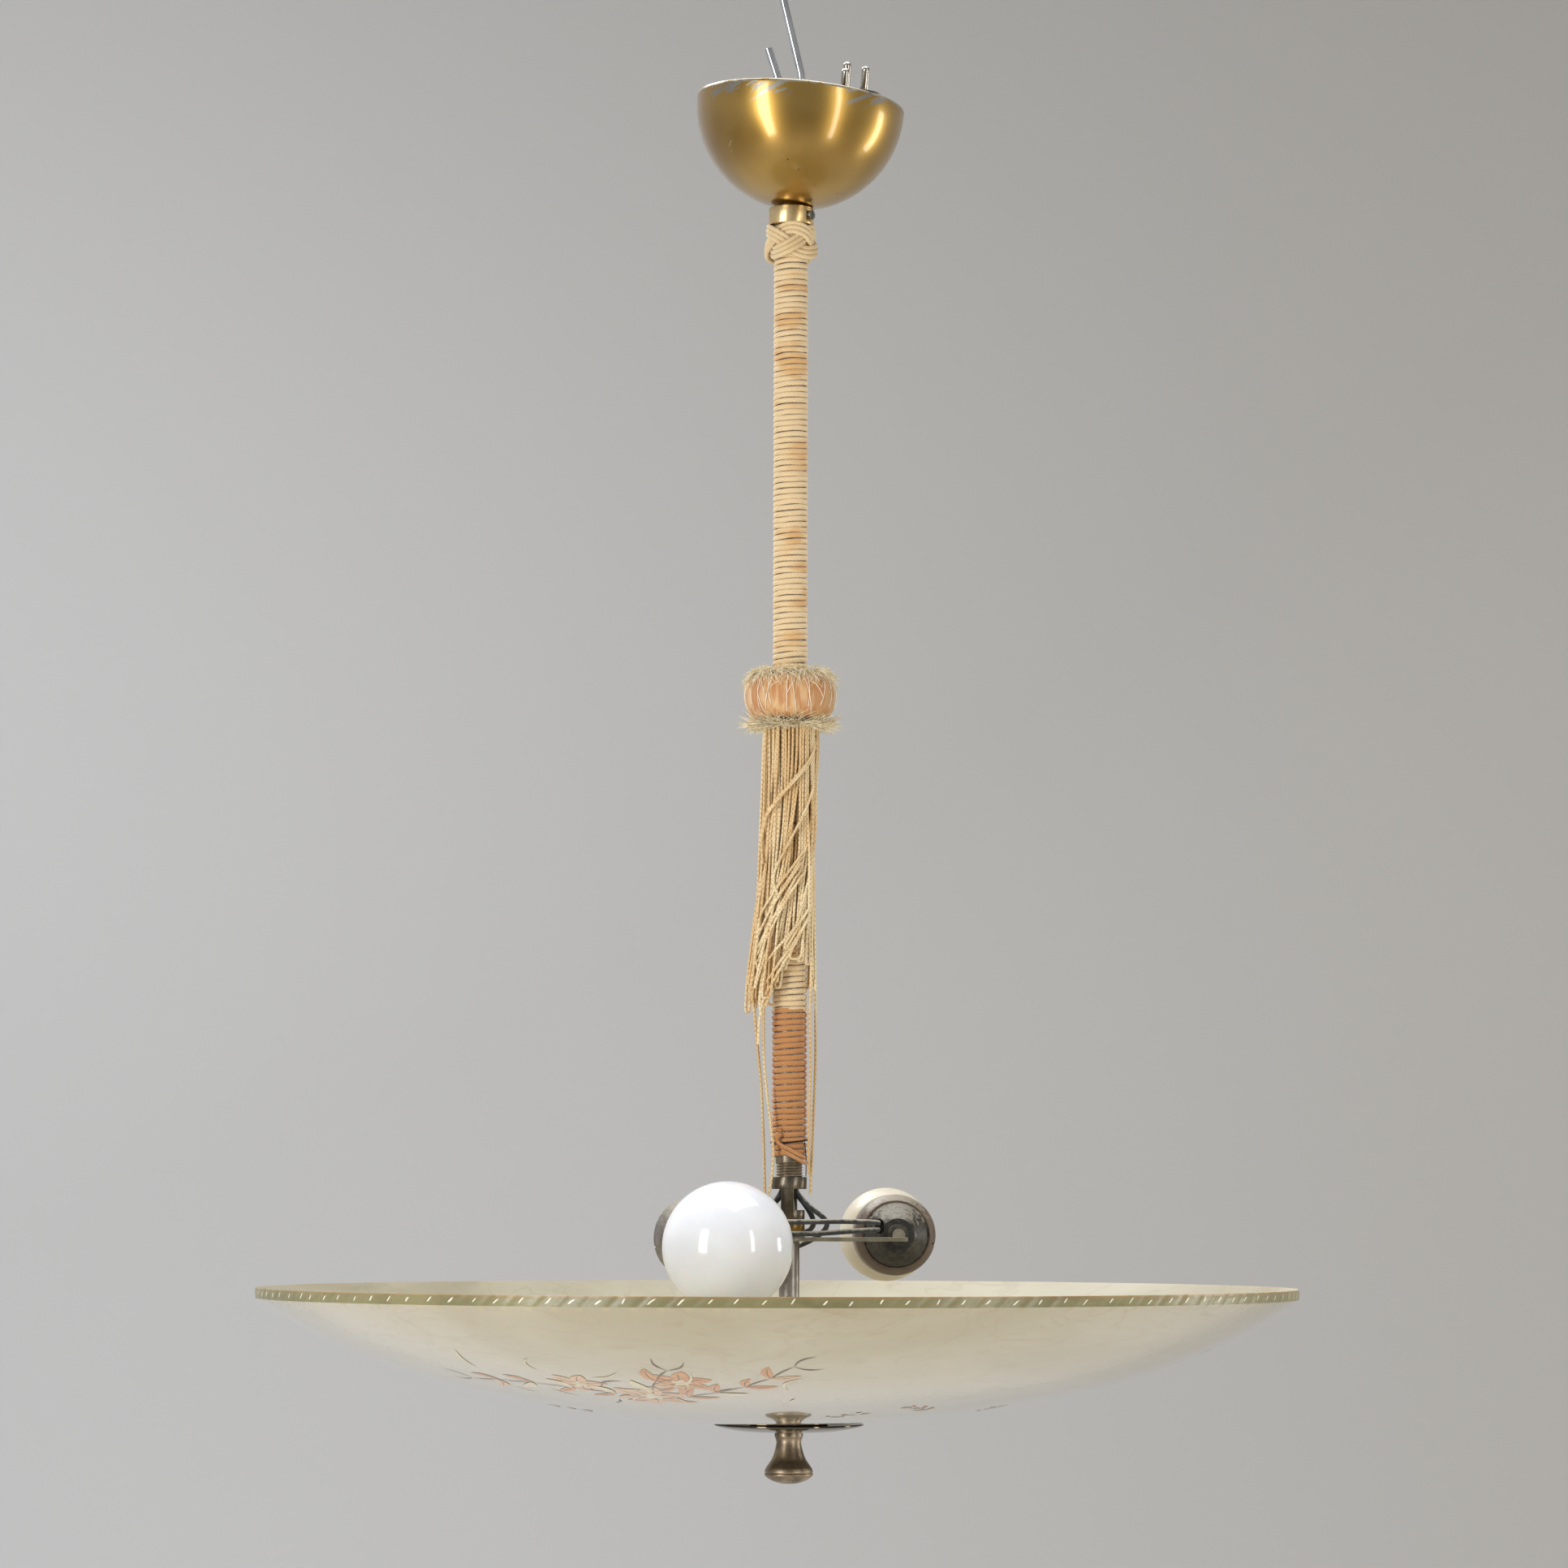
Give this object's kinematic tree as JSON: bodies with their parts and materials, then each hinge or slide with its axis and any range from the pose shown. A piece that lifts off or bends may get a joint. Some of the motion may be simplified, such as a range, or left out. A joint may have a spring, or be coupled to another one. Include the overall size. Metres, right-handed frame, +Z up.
{
  "type": "glass ceiling lamp",
  "caption": "Ceiling lamp: opal glass bowl with a nicked rim on a cord-wound stem with tassel, brass cup, hook and bulbs above the bowl.",
  "frame": {"origin": "middle of the upper bend of the S-hook, where the lamp hangs from the ceiling", "axes": "+Z up, -Y to the front of the picture, +X to its right; the lamp hangs down along -Z"},
  "size_m": [0.4954, 0.4954, 0.7518],
  "materials": {
    "polished_steel": "polished",
    "plated_steel": "dull plating with dust",
    "dark_steel": "dark satin",
    "aged_brass": "patinated, with worn lights",
    "polished_brass": "polished",
    "cup_brass": "lacquered, worn at the rim",
    "bronzed_brass": "dark mirror polish",
    "bowl_glass": "opal beige, glossy outside",
    "frosted_glass": "frosted",
    "opal_glass": "opal white, glossy",
    "cream_cord": "wound cotton cord",
    "orange_cord": "wound dyed cord",
    "straw_cord": "thin braided cord",
    "straw_fringe": "fluffy straw-coloured fringe",
    "peach_silk": "silk thread",
    "dark_textile": "textile sheath with dust",
    "dark_moulding": "bakelite, dusty",
    "brown_moulding": "bakelite, dusty",
    "porcelain": "plain",
    "nickel": "nickel plated",
    "plug_moulding": "dark grey moulding, dusty",
    "soft_washer": "matt"
  },
  "bodies": {
    "hanger": {"hanging_hook": "polished_steel"},
    "stem": {"suspension_loop": "plated_steel", "stem_tube": "dark_steel", "winding_upper": "cream_cord", "winding_inner": "cream_cord", "winding_lower": "orange_cord", "rope_knot": "cream_cord", "ruff_ring": "peach_silk", "fringe_upper": "straw_fringe", "fringe_lower": "straw_fringe", "tassel_skirt": "straw_cord", "strand_left_outer": "straw_cord", "strand_left_inner": "straw_cord", "strand_right_outer": "straw_cord", "strand_right_inner": "straw_cord", "window_yoke": "dark_steel", "hub_brass_ring": "aged_brass", "hub_jam_nut": "plated_steel", "arm_bar": "plated_steel", "holder_stud_right": "plated_steel", "holder_cap_right": "dark_moulding", "holder_shell_right": "brown_moulding", "holder_insert_right": "porcelain", "holder_contact_right": "aged_brass", "holder_stud_left": "plated_steel", "holder_cap_left": "dark_moulding", "holder_shell_left": "brown_moulding", "holder_insert_left": "porcelain", "holder_contact_left": "aged_brass", "feed_wire_right_upper": "dark_textile", "feed_wire_right_lower": "dark_textile", "feed_wire_left_upper": "dark_textile", "feed_wire_left_lower": "dark_textile", "supply_cable": "dark_textile", "plug_lead": "dark_textile", "lower_rod": "dark_steel", "bowl_lock_nut": "plated_steel", "bowl_seat_cup": "plated_steel"},
    "canopy": {"ceiling_cup": "cup_brass", "ceiling_collar": "polished_brass", "plug_body": "plug_moulding", "plug_cover": "plug_moulding", "plug_line_pins": "nickel", "plug_earth_pin": "nickel"},
    "set_screw": {"collar_set_screw": "plated_steel"},
    "bowl": {"glass_bowl": "bowl_glass", "bowl_washer_upper": "soft_washer", "bowl_washer_lower": "soft_washer", "bottom_disc": "bronzed_brass"},
    "finial": {"finial_knob": "aged_brass"},
    "bulb_right": {"bulb_base_right": "nickel", "bulb_glass_right": "frosted_glass"},
    "bulb_left": {"bulb_base_left": "nickel", "bulb_glass_left": "opal_glass"}
  },
  "joints": [
    {"name": "lamp_swing", "type": "hinge", "parent": "hanger", "child": "stem", "pos_m": [0, 0, -0.0705], "axis": [0, 1, 0], "range_deg": [-20, 20]},
    {"name": "canopy_slide", "type": "slide", "parent": "stem", "child": "canopy", "axis": [0, 0, 1], "range_m": [0, 0.012], "deforming": ["plug_lead"]},
    {"name": "set_screw_turn", "type": "hinge", "parent": "canopy", "child": "set_screw", "pos_m": [0, 0, -0.13425], "axis": [0.8192, -0.5736, 0], "range_deg": [0, 720]},
    {"name": "bowl_lower", "type": "slide", "parent": "stem", "child": "bowl", "axis": [0, 0, -1], "range_m": [0, 0.005]},
    {"name": "knob_turn", "type": "hinge", "parent": "bowl", "child": "finial", "pos_m": [0, 0, -0.7328], "axis": [0, 0, -1], "range_deg": [0, 1800]},
    {"name": "bulb_right_turn", "type": "hinge", "parent": "stem", "child": "bulb_right", "pos_m": [0.05247, 0.01022, -0.6271], "axis": [-0.061, 0.9981, 0], "range_deg": [0, 720]},
    {"name": "bulb_left_turn", "type": "hinge", "parent": "stem", "child": "bulb_left", "pos_m": [-0.04933, -0.02066, -0.62711], "axis": [0.2583, -0.9641, -0.061], "range_deg": [0, 720]}
  ],
  "couplings": [
    {"joint": "knob_turn", "follows": "bowl_lower", "rad_per_m": 6283}
  ]
}
